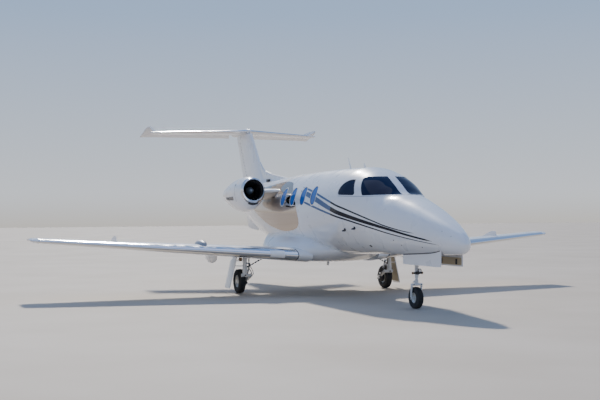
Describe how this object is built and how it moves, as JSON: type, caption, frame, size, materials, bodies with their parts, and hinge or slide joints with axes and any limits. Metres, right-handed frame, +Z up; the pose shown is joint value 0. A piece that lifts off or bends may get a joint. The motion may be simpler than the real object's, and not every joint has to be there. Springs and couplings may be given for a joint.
{
  "type": "light business jet",
  "caption": "Low-wing T-tailed light business jet with rear side-mounted turbofans, parked on tricycle gear, with cabin, doors and control surfaces.",
  "frame": {"origin": "on the ground under the middle of the jet's length and span; the main wheels' axle line is above it", "axes": "+X to the nose, +Y to the port wing tip, +Z up"},
  "size_m": [12.8188, 12.3, 4.0562],
  "materials": {
    "paint": "gloss",
    "composite": "gloss",
    "polished": "polished",
    "glass": "polished",
    "lens": "polished",
    "carpet": "matte",
    "panel": "matte",
    "leather": "satin",
    "gear": "gloss",
    "tyre": "matte",
    "wheel": "satin",
    "fan": "satin",
    "engine": "satin"
  },
  "bodies": {
    "airframe": {"nose_cone": "composite", "nose_section": "paint", "cockpit_section": "paint", "cabin_section": "paint", "aft_section": "paint", "tail_cone": "paint", "cockpit_glass_left": "glass", "cabin_windows_left": "glass", "cockpit_glass_right": "glass", "cabin_windows_right": "glass", "cabin_floor": "carpet", "instrument_panel": "panel", "cockpit_seats": "leather", "cabin_seats": "leather", "belly_fairing": "composite", "fin": "composite", "tailplane": "composite", "nose_gear_leg": "gear", "nose_gear_door_left": "composite", "nose_gear_door_right": "composite", "wing_left": "paint", "wing_leading_edge_left": "polished", "nav_light_left": "lens", "intake_lip_left": "polished", "nacelle_left": "paint", "engine_core_left": "engine", "pylon_left": "paint", "main_gear_leg_left": "gear", "main_gear_door_left": "composite", "wing_right": "paint", "wing_leading_edge_right": "polished", "nav_light_right": "lens", "intake_lip_right": "polished", "nacelle_right": "paint", "engine_core_right": "engine", "pylon_right": "paint", "main_gear_leg_right": "gear", "main_gear_door_right": "composite"},
    "steered_fork": {"nose_gear_fork": "gear"},
    "nose_wheel": {"nose_tyre": "tyre", "nose_rim": "wheel"},
    "left_wheel": {"main_left_tyre": "tyre", "main_left_rim": "wheel"},
    "right_wheel": {"main_right_tyre": "tyre", "main_right_rim": "wheel"},
    "left_fan": {"fan_left": "fan"},
    "right_fan": {"fan_right": "fan"},
    "airstair": {"entry_door": "paint"},
    "nose_bag_door": {"nose_hold_door": "paint"},
    "aft_bag_door": {"aft_hold_door": "paint"},
    "left_flap": {"flap_left": "paint"},
    "right_flap": {"flap_right": "paint"},
    "left_aileron": {"aileron_left": "paint"},
    "right_aileron": {"aileron_right": "paint"},
    "left_elevator": {"elevator_left": "composite"},
    "right_elevator": {"elevator_right": "composite"},
    "rudder_panel": {"rudder": "composite"}
  },
  "joints": [
    {"name": "nose_steering", "type": "hinge", "parent": "airframe", "child": "steered_fork", "pos_m": [4.69, 0, 0.5], "axis": [0, 0, 1], "range_deg": [-50, 50]},
    {"name": "nose_wheel_spin", "type": "hinge", "parent": "steered_fork", "child": "nose_wheel", "pos_m": [4.66, 0, 0.195], "axis": [0, 1, 0], "continuous": true},
    {"name": "left_wheel_spin", "type": "hinge", "parent": "airframe", "child": "left_wheel", "pos_m": [0, 1.755, 0.26], "axis": [0, 1, 0], "continuous": true},
    {"name": "right_wheel_spin", "type": "hinge", "parent": "airframe", "child": "right_wheel", "pos_m": [0, -1.755, 0.26], "axis": [0, 1, 0], "continuous": true},
    {"name": "left_fan_spin", "type": "hinge", "parent": "airframe", "child": "left_fan", "pos_m": [-0.33, 1.3, 2.24], "axis": [0.9978, 0.0523, 0.0401], "continuous": true},
    {"name": "right_fan_spin", "type": "hinge", "parent": "airframe", "child": "right_fan", "pos_m": [-0.33, -1.3, 2.24], "axis": [0.9978, -0.0523, 0.0401], "continuous": true},
    {"name": "airstair_hinge", "type": "hinge", "parent": "airframe", "child": "airstair", "pos_m": [2.95, 0.63235, 1.15], "axis": [-0.9995, 0.0308, 0], "range_deg": [0, 118]},
    {"name": "nose_bag_door_hinge", "type": "hinge", "parent": "airframe", "child": "nose_bag_door", "pos_m": [5.57, 0.26426, 1.59], "axis": [0.9459, -0.3245, 0], "range_deg": [0, 80]},
    {"name": "aft_bag_door_hinge", "type": "hinge", "parent": "airframe", "child": "aft_bag_door", "pos_m": [-0.94, 0.83227, 1.79], "axis": [0.9963, 0.0858, 0], "range_deg": [0, 70]},
    {"name": "left_flap_hinge", "type": "hinge", "parent": "airframe", "child": "left_flap", "pos_m": [0.09419, 1.11, 0.61131], "axis": [0.125, -0.9896, -0.0717], "range_deg": [0, 35]},
    {"name": "right_flap_hinge", "type": "hinge", "parent": "airframe", "child": "right_flap", "pos_m": [0.09419, -1.11, 0.61131], "axis": [-0.125, -0.9896, 0.0717], "range_deg": [0, 35]},
    {"name": "left_aileron_hinge", "type": "hinge", "parent": "airframe", "child": "left_aileron", "pos_m": [-0.21158, 3.53, 1.00177], "axis": [-0.1256, 0.9894, 0.073], "range_deg": [-25, 25]},
    {"name": "right_aileron_hinge", "type": "hinge", "parent": "airframe", "child": "right_aileron", "pos_m": [-0.21158, -3.53, 1.00177], "axis": [0.1256, 0.9894, -0.073], "range_deg": [-25, 25]},
    {"name": "left_elevator_hinge", "type": "hinge", "parent": "airframe", "child": "left_elevator", "pos_m": [-5.34964, 0.25, 3.89048], "axis": [-0.3375, 0.9413, 0.0018], "range_deg": [-2, 41]},
    {"name": "right_elevator_hinge", "type": "hinge", "parent": "airframe", "child": "right_elevator", "pos_m": [-5.34964, -0.25, 3.89048], "axis": [0.3375, 0.9413, -0.0018], "range_deg": [-2, 41]},
    {"name": "rudder_hinge", "type": "hinge", "parent": "airframe", "child": "rudder_panel", "pos_m": [-4.514, 0, 2.7], "axis": [-0.5184, 0, 0.8551], "range_deg": [-25, 25]}
  ],
  "couplings": [
    {"joint": "right_flap_hinge", "follows": "left_flap_hinge", "ratio": 1},
    {"joint": "right_aileron_hinge", "follows": "left_aileron_hinge", "ratio": -1},
    {"joint": "right_elevator_hinge", "follows": "left_elevator_hinge", "ratio": 1}
  ]
}
